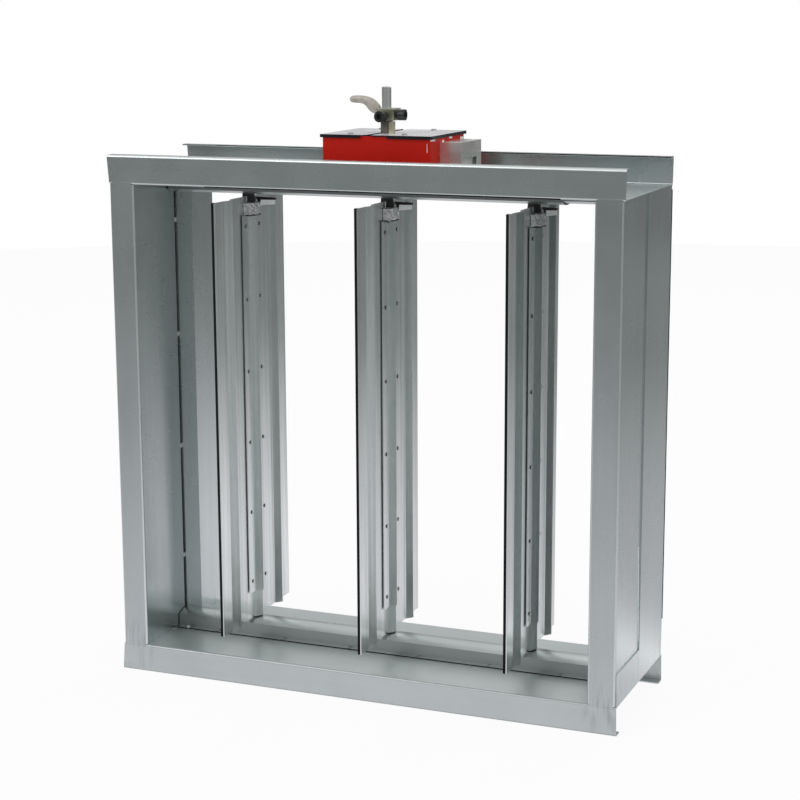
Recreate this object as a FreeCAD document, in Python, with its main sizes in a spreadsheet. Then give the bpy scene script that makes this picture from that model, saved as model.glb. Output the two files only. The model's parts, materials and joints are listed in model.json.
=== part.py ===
# Combination fire smoke damper, built in millimetres.
#
# A square galvanised casing stands on its bottom flange. Two lipped channels close
# the top and the bottom, and two folded jambs made of a front and a rear shell each
# close the sides. Three blades turn together about upright shafts: open, they lie
# along the airflow, and closed, each laps its neighbour and the outer ones meet a
# stop on the jamb. The middle shaft runs up through a red actuator on the top channel
# and carries a clamp with a hand lever. Cranks and a tie bar join the shafts in the
# trough of the bottom channel.
#
# The origin is the middle of the casing's footprint, on the floor. +Z is up, -Y is the
# front, and the blades stand open.

import FreeCAD, Part
import math
import os
import Sketcher

doc = FreeCAD.newDocument("fire_smoke_damper")

# Driving dimensions

SIZES = {
    # Casing
    "casing_width": 640.0,
    "casing_height": 643.0,
    "casing_depth": 203.0,
    "flange_height": 35.0,
    "casing_sheet": 1.5,
    "casing_bend": 3.0,
    "lip_width": 14.0,
    "left_jamb_inset": 2.4,
    "right_jamb_inset": 0.6,
    "jamb_lap": 4.0,
    "end_flap_height": 38.0,
    "end_flap_margin": 3.0,
    # Jamb stops
    "stop_width": 23.0,
    "stop_slot": 3.5,
    "weld_height": 5.0,
    "first_weld_height": 122.0,
    "last_weld_drop": 89.0,
    "weld_root": 0.1,
    # Jamb seals
    "seal_sheet": 0.8,
    "seal_foot": 26.0,
    "arch_half_width": 19.5,
    "arch_dome": 4.5,
    "bottom_arch_height": 20.5,
    "top_arch_height": 16.0,
    "end_arch_height": 14.0,
    "seal_end_gap": 1.0,
    "seal_end_length": 61.0,
    "seal_joint_gap": 0.3,
    "seal_rivet_pitch": 91.0,
    "seal_rivet_radius": 2.6,
    "seal_rivet_height": 1.1,
    # Blades
    "blade_pitch": 183.0,
    "blade_reach": 98.0,
    "blade_sheet": 1.2,
    "blade_gap_low": 22.0,
    "blade_gap_high": 18.5,
    "blade_flat": 1.5,
    "front_flat_step": 2.7,
    "rear_flat_step": 2.2,
    "side_ridge_place": 60.0,
    "side_ridge_width": 9.0,
    "front_foot_lead": 6.0,
    "side_ridge_height": 7.5,
    "centre_ridge_width": 10.0,
    "centre_ridge_height": 8.3,
    "blade_bend": 2.0,
    "notch_half_width": 9.0,
    "edge_seal_width": 6.0,
    "edge_seal_thickness": 3.4,
    # Stiffener
    "stiffener_sheet": 1.2,
    "stiffener_half_width": 24.5,
    "stiffener_foot": 10.0,
    "stiffener_lift": 1.2,
    "stiffener_margin": 34.0,
    "front_rivet_place": 15.0,
    "rear_rivet_place": 21.0,
    "rivet_margin": 14.0,
    "rivet_radius": 2.3,
    "rivet_head": 1.1,
    # Shafts, clamps and bearings
    "shaft_radius": 6.0,
    "running_clearance": 0.05,
    "seat_clearance": 0.05,
    "face_gap": 0.3,
    "clamp_height": 14.0,
    "clamp_half_width": 7.5,
    "clamp_front": 9.5,
    "clamp_back": 8.0,
    "clamp_drop": 7.5,
    "saddle_half_width": 15.0,
    "saddle_height": 20.0,
    "saddle_lift": 6.0,
    "upper_bush_radius": 7.5,
    "lower_bush_radius": 8.0,
    "bush_flange_radius": 11.0,
    "bush_flange": 2.0,
    "side_shaft_stand": 6.0,
    "drive_shaft_stand": 26.0,
    "shaft_chamfer": 0.8,
    "shaft_end_relief": 0.4,
    # Linkage
    "crank_arm": 35.0,
    "crank_sheet": 3.0,
    "crank_hub_radius": 10.0,
    "crank_hub_height": 11.0,
    "crank_level": 18.0,
    "crank_eye_radius": 7.5,
    "crank_pin_radius": 3.0,
    "crank_pin_head_radius": 5.0,
    "crank_pin_head": 1.8,
    "crank_rivet_head": 1.2,
    "tie_bar_sheet": 4.0,
    "tie_bar_half_width": 7.5,
    "tie_bar_slack": 0.4,
    # Actuator
    "box_left": 65.5,
    "box_right": 70.0,
    "box_front": 40.0,
    "box_rear": 73.5,
    "box_height": 58.0,
    "box_sheet": 1.6,
    "box_bend": 2.5,
    "lid_overhang": 2.5,
    "lid_sheet": 1.5,
    "lid_rim": 1.2,
    "lid_rim_drop": 2.2,
    "lid_slot_left": 10.0,
    "lid_slot_right": 3.0,
    "lid_slot_corner": 5.0,
    "lid_notch_half_width": 17.0,
    "lid_bore": 9.0,
    "lid_corner": 2.5,
    "left_screw_place": 33.0,
    "right_screw_place": 35.0,
    "front_screw_margin": 9.0,
    "rear_screw_margin": 11.0,
    "screw_radius": 2.0,
    "screw_head_radius": 3.2,
    "screw_head": 1.6,
    "post_side": 9.0,
    "foot_screw_inset": 12.0,
    "guard_reach": 26.0,
    "guard_front": 8.0,
    "guard_length": 69.0,
    "guard_height": 50.5,
    "guard_sheet": 1.2,
    "guard_window_height": 31.5,
    "guard_leg": 13.0,
    "terminal_width": 16.0,
    "terminal_length": 50.0,
    "terminal_height": 22.0,
    "hub_radius": 14.0,
    "hub_height": 17.0,
    "hub_lift": 3.0,
    "hub_sleeve_radius": 7.2,
    "cassette_radius": 30.0,
    "cassette_height": 24.0,
    "motor_margin": 3.0,
    "motor_width": 30.0,
    "motor_length": 80.0,
    "motor_height": 46.0,
    "switch_width": 11.0,
    "switch_length": 22.0,
    "switch_height": 16.0,
    "switch_gap": 1.0,
    # Hand clamp on the drive shaft
    "hand_block_lift": 15.0,
    "hand_block_height": 13.0,
    "hand_block_left": 8.0,
    "hand_block_right": 12.5,
    "hand_block_front": 9.8,
    "hand_block_rear": 8.2,
    "hand_block_bend": 1.5,
    "hand_plate_sheet": 1.2,
    "hand_plate_left_lap": 3.5,
    "hand_plate_right_lap": 2.0,
    "hand_plate_rear_lap": 1.3,
    "cap_head_radius": 6.5,
    "cap_head_length": 8.2,
    "cap_shank_radius": 4.0,
    "cap_socket_radius": 3.4,
    "cap_socket_depth": 4.0,
    "cap_standoff": 3.0,
    "front_screw_shift": 1.0,
    "front_screw_drop": 1.5,
    "post_width": 6.0,
    "post_gap": 1.0,
    "lever_half_width": 4.0,
    "lever_thickness": 8.3,
    "lever_drop": 6.2,
    "lever_crown": 2.7,
    "lever_rise": 12.8,
    "lever_heel_length": 11.0,
    "lever_slope_length": 11.0,
    "lever_tip_length": 16.5,
    "lever_brow_length": 10.5,
    "lever_heel_bend": 5.0,
    "lever_knee_bend": 13.0,
    "lever_brow_bend": 15.0,
    "lever_tip_bend": 3.9,
}

BLADE_COUNT = 3
DRIVEN_BLADE = 2
RIVET_ROWS = 6
RIVET_FACETS = 8
WELDS_PER_SIDE = 4

sheet = doc.addObject("Spreadsheet::Sheet", "Sizes")
for row, (alias, number) in enumerate(SIZES.items(), start=1):
    sheet.set("A%d" % row, alias)
    sheet.set("B%d" % row, str(number))
    sheet.setAlias("B%d" % row, alias)
doc.recompute()


class Size:
    """A length with its value and the sheet formula that it comes from."""

    def __init__(self, value, formula):
        self.value = float(value)
        self.formula = formula

    def _with(self, other, sign, value):
        other = as_size(other)
        return Size(value, "(%s %s %s)" % (self.formula, sign, other.formula))

    def __add__(self, other):
        return self._with(other, "+", self.value + as_size(other).value)

    def __sub__(self, other):
        return self._with(other, "-", self.value - as_size(other).value)

    def __mul__(self, other):
        return self._with(other, "*", self.value * as_size(other).value)

    def __truediv__(self, other):
        return self._with(other, "/", self.value / as_size(other).value)

    def __rsub__(self, other):
        return as_size(other) - self

    def __rmul__(self, other):
        return as_size(other) * self

    def __neg__(self):
        return Size(-self.value, "(0 - %s)" % self.formula)


def as_size(number):
    """Numbers such as 2 or a loop's count join in the same formulas."""
    if isinstance(number, Size):
        return number
    return Size(number, repr(number))


def size(alias):
    return Size(SIZES[alias], "Sizes." + alias)


def square_root(area):
    return Size(math.sqrt(area.value), "sqrt(%s)" % area.formula)


def bind(thing, prop, length):
    """Set one property from the sheet."""
    thing.setExpression(prop, as_size(length).formula)


ZERO = as_size(0)

# Names for the sizes that many pieces share

half_width = size("casing_width") / 2
half_depth = size("casing_depth") / 2
height = size("casing_height")
flange = size("flange_height")
metal = size("casing_sheet")
floor_level = flange
ceiling_level = height - flange
wall_place = half_width - flange
clear = size("face_gap")
shaft_radius = size("shaft_radius")
web_top = ceiling_level + metal

nodes = []


def keep(thing, name):
    """Make an object one of the finished pieces, under its own name."""
    thing.Label = name
    nodes.append(thing)
    return thing


# Sketches and solids

PLANE_AXES = {"XY_Plane": (0, 1, 2), "XZ_Plane": (0, 2, 1), "YZ_Plane": (1, 2, 0)}
SPOT_TOLERANCE = 0.02


def new_body(name, x=None, y=None):
    body = doc.addObject("PartDesign::Body", name)
    if x is not None:
        bind(body, "Placement.Base.x", x)
    if y is not None:
        bind(body, "Placement.Base.y", y)
    return keep(body, name)


def new_sketch(body, plane, offset):
    """A sketch parallel to one of the body's own planes, at a distance from it."""
    origin_plane = next(item for item in body.Origin.OriginFeatures if item.Role == plane)
    sketch = body.newObject("Sketcher::SketchObject", "outline")
    sketch.AttachmentSupport = [(origin_plane, "")]
    sketch.MapMode = "FlatFace"
    bind(sketch, "AttachmentOffset.Base.z", offset)
    return sketch


def fix_point(sketch, item, end, x, y):
    """Hold one end of a line or an arc, or a centre, at a place from the sheet."""
    for kind, place in (("DistanceX", x), ("DistanceY", y)):
        number = sketch.addConstraint(
            Sketcher.Constraint(kind, -1, 1, item, end, as_size(place).value))
        sketch.setExpression("Constraints[%d]" % number, as_size(place).formula)


def arc_between(start, end, radius):
    """An arc from start to end: a positive radius bends it to the left of its way."""
    run = end - start
    middle = (start + end) * 0.5
    side = FreeCAD.Vector(-run.y, run.x, 0).normalize()
    reach = math.sqrt(max(radius ** 2 - (run.Length / 2) ** 2, 0))
    centre = middle + side * (reach if radius > 0 else -reach)
    first, last = (start, end) if radius > 0 else (end, start)
    angles = [math.atan2(p.y - centre.y, p.x - centre.x) for p in (first, last)]
    if angles[1] <= angles[0]:
        angles[1] += 2 * math.pi
    circle = Part.Circle(centre, FreeCAD.Vector(0, 0, 1), abs(radius))
    return Part.ArcOfCircle(circle, angles[0], angles[1])


def draw_loop(sketch, corners):
    """Draw a closed outline. A corner is (x, y), or (x, y, radius) before an arc."""
    places = [FreeCAD.Vector(as_size(c[0]).value, as_size(c[1]).value, 0) for c in corners]
    ends = []
    for number, corner in enumerate(corners):
        start = places[number]
        end = places[(number + 1) % len(corners)]
        if len(corner) == 2:
            item = sketch.addGeometry(Part.LineSegment(start, end))
            ends.append((item, 1, 2))
        else:
            radius = as_size(corner[2])
            item = sketch.addGeometry(arc_between(start, end, radius.value))
            ends.append((item, 1, 2) if radius.value > 0 else (item, 2, 1))
            length = radius if radius.value > 0 else -radius
            rule = sketch.addConstraint(Sketcher.Constraint("Radius", item, length.value))
            sketch.setExpression("Constraints[%d]" % rule, length.formula)
    for number, (item, start_end, last_end) in enumerate(ends):
        after, after_start, _ = ends[(number + 1) % len(ends)]
        sketch.addConstraint(
            Sketcher.Constraint("Coincident", item, last_end, after, after_start))
        fix_point(sketch, item, start_end, corners[number][0], corners[number][1])


def draw_circle(sketch, x, y, radius):
    centre = FreeCAD.Vector(as_size(x).value, as_size(y).value, 0)
    item = sketch.addGeometry(Part.Circle(centre, FreeCAD.Vector(0, 0, 1), radius.value))
    fix_point(sketch, item, 3, x, y)
    rule = sketch.addConstraint(Sketcher.Constraint("Radius", item, radius.value))
    sketch.setExpression("Constraints[%d]" % rule, radius.formula)


def draw_all(sketch, loops, circles):
    for corners in loops:
        draw_loop(sketch, corners)
    for circle in circles:
        draw_circle(sketch, *circle)


def pad(body, plane, loops, low, high, circles=()):
    """Extrude outlines between two levels of the axis across the plane."""
    low, high = as_size(low), as_size(high)
    sketch = new_sketch(body, plane, -high if plane == "XZ_Plane" else low)
    draw_all(sketch, loops, circles)
    solid = body.newObject("PartDesign::Pad", "pad")
    solid.Profile = sketch
    bind(solid, "Length", high - low)
    doc.recompute()
    return solid


def pocket(body, plane, loops, low, high, circles=()):
    """Cut outlines out of the body between two levels, and see that it cut."""
    low, high = as_size(low), as_size(high)
    before = body.Shape.Volume
    sketch = new_sketch(body, plane, -low if plane == "XZ_Plane" else high)
    draw_all(sketch, loops, circles)
    hole = body.newObject("PartDesign::Pocket", "pocket")
    hole.Profile = sketch
    bind(hole, "Length", high - low)
    doc.recompute()
    if body.Shape.Volume >= before:
        raise RuntimeError(body.Label + ": a pocket cut nothing")
    return hole


def edges_at(solid, plane, spots):
    """Names of the straight edges that cross the plane at the given places."""
    first, second, across = PLANE_AXES[plane]
    names = []
    for number, edge in enumerate(solid.Shape.Edges, start=1):
        if len(edge.Vertexes) != 2 or edge.Curve.TypeId != "Part::GeomLine":
            continue
        low, high = (vertex.Point for vertex in edge.Vertexes)
        if abs(low[across] - high[across]) < SPOT_TOLERANCE:
            continue
        for x, y in spots:
            near_low = math.hypot(low[first] - x.value, low[second] - y.value)
            near_high = math.hypot(high[first] - x.value, high[second] - y.value)
            if max(near_low, near_high) < SPOT_TOLERANCE:
                names.append("Edge%d" % number)
                break
    return names


def round_edges(body, solid, plane, spots, radius):
    """Round the edges that stand across the plane at the given places."""
    spots = [(as_size(spot[0]), as_size(spot[1])) for spot in spots]
    fillet = body.newObject("PartDesign::Fillet", "bend")
    fillet.Base = (solid, edges_at(solid, plane, spots))
    bind(fillet, "Radius", radius)
    doc.recompute()
    return fillet


def box_loop(left, front, right, rear):
    """The four corners of a rectangle."""
    return [(left, front), (right, front), (right, rear), (left, rear)]


def cylinder(radius, low, high, x=ZERO, y=ZERO):
    """An upright round bar between two levels."""
    bar = doc.addObject("Part::Cylinder", "bar")
    bind(bar, "Radius", radius)
    bind(bar, "Height", high - low)
    bind(bar, "Placement.Base.x", x)
    bind(bar, "Placement.Base.y", y)
    bind(bar, "Placement.Base.z", low)
    return bar


def stud(radius, low, high, x=ZERO, y=ZERO):
    """An upright bar with a few flat sides, for small parts that repeat."""
    bar = doc.addObject("Part::Prism", "stud")
    bar.Polygon = RIVET_FACETS
    bind(bar, "Circumradius", radius)
    bind(bar, "Height", high - low)
    bind(bar, "Placement.Base.x", x)
    bind(bar, "Placement.Base.y", y)
    bind(bar, "Placement.Base.z", low)
    return bar


def block(left, front, low, right, rear, high):
    """A straight block between two corners."""
    cube = doc.addObject("Part::Box", "block")
    bind(cube, "Length", right - left)
    bind(cube, "Width", rear - front)
    bind(cube, "Height", high - low)
    bind(cube, "Placement.Base.x", left)
    bind(cube, "Placement.Base.y", front)
    bind(cube, "Placement.Base.z", low)
    return cube


def fused(pieces):
    union = doc.addObject("Part::MultiFuse", "union")
    union.Shapes = pieces
    return union


def grouped(pieces):
    """Several loose solids kept as one piece of the parts list."""
    group = doc.addObject("Part::Compound", "group")
    group.Links = pieces
    return group


def without(solid, tool):
    cut = doc.addObject("Part::Cut", "cut")
    cut.Base = solid
    cut.Tool = tool
    return cut


# Casing

pivots = [size("blade_pitch") * (number - (BLADE_COUNT - 1) / 2) for number in range(BLADE_COUNT)]


def lipped_channel(name, level, upward, bush_radius):
    """A full-width channel whose flanges turn away from the opening, with inward lips."""
    body = new_body(name)
    lip = size("lip_width")
    inner = [
        (-half_depth + lip, level(metal)),
        (-half_depth + metal, level(metal)),
        (-half_depth + metal, level(flange - metal)),
        (half_depth - metal, level(flange - metal)),
        (half_depth - metal, level(metal)),
        (half_depth - lip, level(metal)),
    ]
    outer = [
        (half_depth - lip, level(ZERO)),
        (half_depth, level(ZERO)),
        (half_depth, level(flange)),
        (-half_depth, level(flange)),
        (-half_depth, level(ZERO)),
        (-half_depth + lip, level(ZERO)),
    ]
    solid = pad(body, "YZ_Plane", [inner + outer], -half_width, half_width)
    solid = round_edges(body, solid, "YZ_Plane", outer[1:5], size("casing_bend"))
    round_edges(body, solid, "YZ_Plane", inner[1:5], size("casing_bend") - metal)
    ends = []
    for side, inset in ((-1, size("left_jamb_inset")), (1, size("right_jamb_inset"))):
        edge = half_width * side
        ends.append([(edge, level(flange)), (edge, level(metal * 2)),
                     (edge - inset * side, level(flange))])
    pocket(body, "XZ_Plane", ends, -half_depth, half_depth)
    low, high = (level(flange), level(flange - metal))
    low, high = (low, high) if upward else (high, low)
    holes = [(place, ZERO, bush_radius + size("seat_clearance")) for place in pivots]
    if upward:
        holes += [(x, y, size("screw_radius") + size("seat_clearance")) for x, y in foot_screws]
    pocket(body, "XY_Plane", [], low, high, holes)
    return body


foot_inset = size("foot_screw_inset")
foot_screws = [
    (-size("box_left") + foot_inset, -size("box_front") + foot_inset),
    (size("box_right") - foot_inset, -size("box_front") + foot_inset),
    (-size("box_left") + foot_inset, size("box_rear") - foot_inset),
    (size("box_right") - foot_inset, size("box_rear") - foot_inset),
]

upper_bush = size("upper_bush_radius")
lower_bush = size("lower_bush_radius")
lipped_channel("casing_top_channel", lambda depth: height - depth, True, upper_bush)
bottom = lipped_channel("casing_bottom_channel", lambda depth: ZERO + depth, False, lower_bush)


def end_flaps(body):
    """Flaps turned up from the bottom channel's ends, flush with the jambs' outer skins."""
    near = size("jamb_lap") + clear
    far = half_depth - size("end_flap_margin")
    loops = []
    for side, inset in ((-1, size("left_jamb_inset")), (1, size("right_jamb_inset"))):
        outer = half_width - inset
        inner = outer - metal
        loops.append(box_loop(outer * side, near * -side, inner * side, far * -side))
    pad(body, "XY_Plane", loops, floor_level - metal, floor_level + size("end_flap_height"))


end_flaps(bottom)


def jamb_shells(name, side, stop_face, inset):
    """The lapped shell and the shell that carries the stop, for the left (1) or right (-1)."""
    lap = size("jamb_lap")
    wall = -wall_place
    skin = -half_width + inset
    slot_edge = stop_face - size("stop_slot")
    lapped = [
        (skin, lap),
        (skin, -half_depth),
        (wall, -half_depth),
        (wall, slot_edge),
        (wall - metal, slot_edge),
        (wall - metal, -half_depth + metal),
        (skin + metal, -half_depth + metal),
        (skin + metal, lap),
    ]
    stop_edge = wall + size("stop_width")
    stopped = [
        (skin + metal, -lap),
        (skin + metal, half_depth),
        (wall, half_depth),
        (wall, stop_face + metal),
        (stop_edge, stop_face + metal),
        (stop_edge, stop_face),
        (wall - metal, stop_face),
        (wall - metal, half_depth - metal),
        (skin + metal * 2, half_depth - metal),
        (skin + metal * 2, -lap),
    ]
    outer_bend = size("casing_bend")
    inner_bend = outer_bend - metal
    front, rear = ("front", "rear") if side > 0 else ("rear", "front")
    for place, corners, outer_spots, inner_spots in (
            (front, lapped, (1, 2), (5, 6)), (rear, stopped, (1, 2), (7, 8))):
        body = new_body("%s_jamb_%s_shell" % (name, place))
        corners = [(x * side, y * side) for x, y in corners]
        solid = pad(body, "XY_Plane", [corners], floor_level, ceiling_level)
        spots = [corners[number] for number in outer_spots]
        solid = round_edges(body, solid, "XY_Plane", spots, outer_bend)
        spots = [corners[number] for number in inner_spots]
        round_edges(body, solid, "XY_Plane", spots, inner_bend)
    stop = box_loop(wall * side, (stop_face - clear) * side,
                    (stop_edge + clear) * side, (stop_face + metal + clear) * side)
    pocket(body, "XY_Plane", [stop], floor_level, seal_room_low)
    pocket(body, "XY_Plane", [stop], seal_room_high, ceiling_level)


blade_outer = size("blade_flat")
seal_face = blade_outer + size("front_flat_step") - size("blade_sheet")
seal_thickness = size("edge_seal_thickness")
left_stop = seal_thickness - seal_face + clear
right_stop = seal_face
seal_room_low = floor_level + size("bottom_arch_height") + clear
seal_room_high = ceiling_level - size("top_arch_height") - clear
jamb_shells("left", 1, left_stop, size("left_jamb_inset"))
jamb_shells("right", -1, right_stop, size("right_jamb_inset"))


def seam_welds(name, side, stop_face):
    """Short welds across the slot between a jamb's wall and its stop."""
    reach = size("stop_slot")
    beads = []
    first = size("first_weld_height")
    pitch = (height - size("last_weld_drop") - first) / (WELDS_PER_SIDE - 1)
    for number in range(WELDS_PER_SIDE):
        low = first + pitch * number
        bead = block(-wall_place - metal, stop_face - reach, low,
                     -wall_place, stop_face, low + size("weld_height"))
        beads.append(bead)
    group = grouped(beads)
    if side < 0:
        group.Placement.Rotation = FreeCAD.Rotation(FreeCAD.Vector(0, 0, 1), 180)
    keep(group, name)


seam_welds("left_seam_welds", 1, left_stop)
seam_welds("right_seam_welds", -1, right_stop)


def corner_welds():
    """Welds ground flush over the channels' bends, where the jambs' faces meet them."""
    body = new_body("corner_welds")
    bend = size("casing_bend")
    radius = bend + size("weld_root")
    run = square_root(radius * radius - bend * bend)
    loops = []
    for level, up in ((floor_level, -1), (ceiling_level, 1)):
        for side in (-1, 1):
            face = half_depth * side
            turn = side * up
            loops.append([
                (face, level),
                (face - (bend - run) * side, level, radius * turn),
                (face, level + (bend - run) * up),
            ])
    for start, end in ((-half_width + size("left_jamb_inset") + bend, -wall_place - bend),
                       (wall_place + bend, half_width - size("right_jamb_inset") - bend)):
        pad(body, "YZ_Plane", loops, start, end)


corner_welds()


def stop_gasket():
    """A strip on the right stop that the last blade's rear edge closes against."""
    body = new_body("right_stop_gasket")
    inner = wall_place - size("stop_width")
    thickness = seal_thickness
    pad(body, "XY_Plane", [box_loop(inner, -right_stop, wall_place - clear, -right_stop + thickness)],
        seal_room_low, seal_room_high)


stop_gasket()

# Jamb seals


def arch_radius(half, rise):
    return (half * half + rise * rise) / (rise * 2)


def jamb_seal(name, level, rise, left, right, upward, bush_radius, holes):
    """A strip with two feet, two upright sides and a low dome that the blade ends run past."""
    body = new_body(name)
    foil = size("seal_sheet")
    half = size("arch_half_width")
    foot = size("seal_foot")
    dome = size("arch_dome")
    shoulder = rise - dome
    outer = arch_radius(half, dome)
    inner = arch_radius(half - foil, dome)
    turn = -1 if upward else 1
    corners = [
        (-foot, level(ZERO)),
        (-half + foil, level(ZERO)),
        (-half + foil, level(shoulder - foil), inner * turn),
        (half - foil, level(shoulder - foil)),
        (half - foil, level(ZERO)),
        (foot, level(ZERO)),
        (foot, level(foil)),
        (half, level(foil)),
        (half, level(shoulder), outer * -turn),
        (-half, level(shoulder)),
        (-half, level(foil)),
        (-foot, level(foil)),
    ]
    pad(body, "YZ_Plane", [corners], left, right)
    low, high = (level(ZERO), level(rise)) if upward else (level(rise), level(ZERO))
    circles = [(place, ZERO, bush_radius + clear) for place in holes]
    if circles:
        pocket(body, "XY_Plane", [], low, high, circles)


strip_end = wall_place - size("seal_end_gap")
joint = strip_end - size("seal_end_length")
jamb_seal("bottom_jamb_seal", lambda rise: floor_level + rise, size("bottom_arch_height"),
          -strip_end, strip_end, True, lower_bush, pivots)
jamb_seal("top_jamb_seal", lambda rise: ceiling_level - rise, size("top_arch_height"),
          -strip_end, joint, False, upper_bush, pivots)
jamb_seal("top_jamb_seal_end", lambda rise: ceiling_level - rise, size("end_arch_height"),
          joint + size("seal_joint_gap"), strip_end, False, upper_bush, [])


def seal_rivets():
    """Rivets along the front foot of the bottom seal."""
    foil = size("seal_sheet")
    pitch = size("seal_rivet_pitch")
    foot_middle = (size("seal_foot") + size("arch_half_width")) / 2
    count = int((strip_end.value * 2) // pitch.value)
    heads = []
    for number in range(count):
        x = pitch * (number - (count - 1) / 2)
        low = floor_level + foil
        heads.append(stud(size("seal_rivet_radius"), low,
                          low + size("seal_rivet_height"), x, -foot_middle))
    keep(grouped(heads), "seal_rivets")


seal_rivets()

# Bearings

blade_low = floor_level + size("blade_gap_low")
blade_high = ceiling_level - size("blade_gap_high")
clamp_top = blade_high - size("clamp_drop")
clamp_low = clamp_top - size("clamp_height")
notch_level = clamp_low - clear


def bearings(name, radius, low, high, flange_low):
    """Flanged bushes at the three shafts, kept as one piece of the parts list."""
    bushes = []
    for place in pivots:
        sleeve = cylinder(radius, low, high, place)
        rim = cylinder(size("bush_flange_radius"), flange_low,
                       flange_low + size("bush_flange"), place)
        bore = cylinder(shaft_radius + size("running_clearance"), low, high, place)
        bushes.append(without(fused([sleeve, rim]), bore))
    keep(grouped(bushes), name)


bush_flange = size("bush_flange")
bearings("upper_bearings", upper_bush, clamp_top + clear, web_top + bush_flange, web_top)
bearings("lower_bearings", lower_bush, floor_level - metal - bush_flange,
         floor_level + size("bottom_arch_height"), floor_level - metal - bush_flange)

# Blades

sheet_blade = size("blade_sheet")
reach = size("blade_reach")
ridge = size("side_ridge_place")
ridge_half = size("side_ridge_width")
front_flat = blade_outer + size("front_flat_step")
rear_flat = blade_outer - size("rear_flat_step")
side_crest = blade_outer + size("side_ridge_height")
centre_crest = blade_outer + size("centre_ridge_height")
centre_half = size("centre_ridge_width")


def bent_sheet(body, path, thickness, low, high, bend):
    """A folded sheet: the path is its outer face, and the sheet lies towards -X."""
    inner = [(x - thickness, y) for x, y in reversed(path)]
    solid = pad(body, "XY_Plane", [path + inner], low, high)
    folds = path[1:-1] + inner[1:-1]
    return round_edges(body, solid, "XY_Plane", folds, bend)


def blade_skin(name, place):
    """The blade's sheet, with three long V ridges and an edge flat at each side."""
    body = new_body(name, place)
    path = [
        (front_flat, -reach),
        (front_flat, -ridge - ridge_half - size("front_foot_lead")),
        (side_crest, -ridge),
        (blade_outer, -ridge + ridge_half),
        (blade_outer, -centre_half),
        (centre_crest, ZERO),
        (blade_outer, centre_half),
        (blade_outer, ridge - ridge_half),
        (side_crest, ridge),
        (rear_flat, ridge + ridge_half),
        (rear_flat, reach),
    ]
    bent_sheet(body, path, sheet_blade, blade_low, blade_high, size("blade_bend"))
    notch = size("notch_half_width")
    pocket(body, "XY_Plane", [box_loop(-side_crest, -notch, centre_crest * 2, notch)],
           notch_level, blade_high + clear)


def edge_seal(name, place):
    """The black seal strip behind the front edge of a blade."""
    body = new_body(name, place)
    pad(body, "XY_Plane", [box_loop(seal_face - seal_thickness, -reach,
                                    seal_face, -reach + size("edge_seal_width"))],
        blade_low, blade_high)


stiffener_low = blade_low + size("stiffener_margin")
stiffener_high = notch_level - clear
lifted = blade_outer + size("stiffener_lift")
stiffener_face = lifted + size("stiffener_sheet")


def stiffener(name, place):
    """A shallow hat strip that rests on the blade's middle ridge, clear of its flats."""
    body = new_body(name, place)
    half = size("stiffener_half_width")
    foot = size("stiffener_foot")
    crest = centre_crest + clear + size("stiffener_sheet")
    path = [
        (stiffener_face, -half),
        (stiffener_face, -foot),
        (crest, ZERO),
        (stiffener_face, foot),
        (stiffener_face, half),
    ]
    bent_sheet(body, path, size("stiffener_sheet"), stiffener_low, stiffener_high,
               size("blade_bend"))


def blade_rivets(name, place):
    """Rivet heads on the stiffener's two flanges, each over a spacer on the blade."""
    solids = []
    margin = size("rivet_margin")
    spacing = (stiffener_high - stiffener_low - margin * 2) / (RIVET_ROWS - 1)
    for number in range(RIVET_ROWS):
        level = stiffener_low + margin + spacing * number
        for across in (-size("front_rivet_place"), size("rear_rivet_place")):
            for low, high in ((blade_outer, lifted),
                              (stiffener_face, stiffener_face + size("rivet_head"))):
                pin = stud(size("rivet_radius"), low, high)
                pin.Placement.Rotation = FreeCAD.Rotation(FreeCAD.Vector(0, 1, 0), 90)
                bind(pin, "Placement.Base.x", place + low)
                bind(pin, "Placement.Base.y", across)
                bind(pin, "Placement.Base.z", level)
                solids.append(pin)
    keep(grouped(solids), name)


def shaft(name, place, shoulder, top):
    """A round bar from the crank to above the top channel, its free end turned down a little."""
    chamfer = size("shaft_chamfer")
    end_radius = shaft_radius - size("shaft_end_relief")
    bar = cylinder(shaft_radius, crank_level - clear, shoulder, place)
    end = cylinder(end_radius, shoulder, top - chamfer, place)
    tip = doc.addObject("Part::Cone", "tip")
    bind(tip, "Radius1", end_radius)
    bind(tip, "Radius2", end_radius - chamfer)
    bind(tip, "Height", chamfer)
    bind(tip, "Placement.Base.x", place)
    bind(tip, "Placement.Base.z", top - chamfer)
    keep(fused([bar, end, tip]), name)


def shaft_clamps(name, place):
    """The clamp at the blade's top end and the saddle that holds the shaft lower down."""
    bore_radius = shaft_radius + size("seat_clearance")
    half = size("clamp_half_width")
    head = block(place - size("clamp_back"), -half, clamp_low,
                 place + size("clamp_front"), half, clamp_top)
    head = without(head, cylinder(bore_radius, clamp_low, clamp_top, place))
    saddle_half = size("saddle_half_width")
    saddle_low = blade_low + size("saddle_lift")
    saddle_high = saddle_low + size("saddle_height")
    saddle = block(place - size("clamp_back"), -saddle_half, saddle_low,
                   place + blade_outer - sheet_blade, saddle_half, saddle_high)
    saddle = without(saddle, cylinder(bore_radius, saddle_low, saddle_high, place))
    keep(grouped([head, saddle]), name)


crank_level = size("crank_level")
crank_offset = size("crank_arm") / math.sqrt(2)
pin_radius = size("crank_pin_radius")
bar_top = crank_level - clear
bar_low = bar_top - size("tie_bar_sheet")


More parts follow.
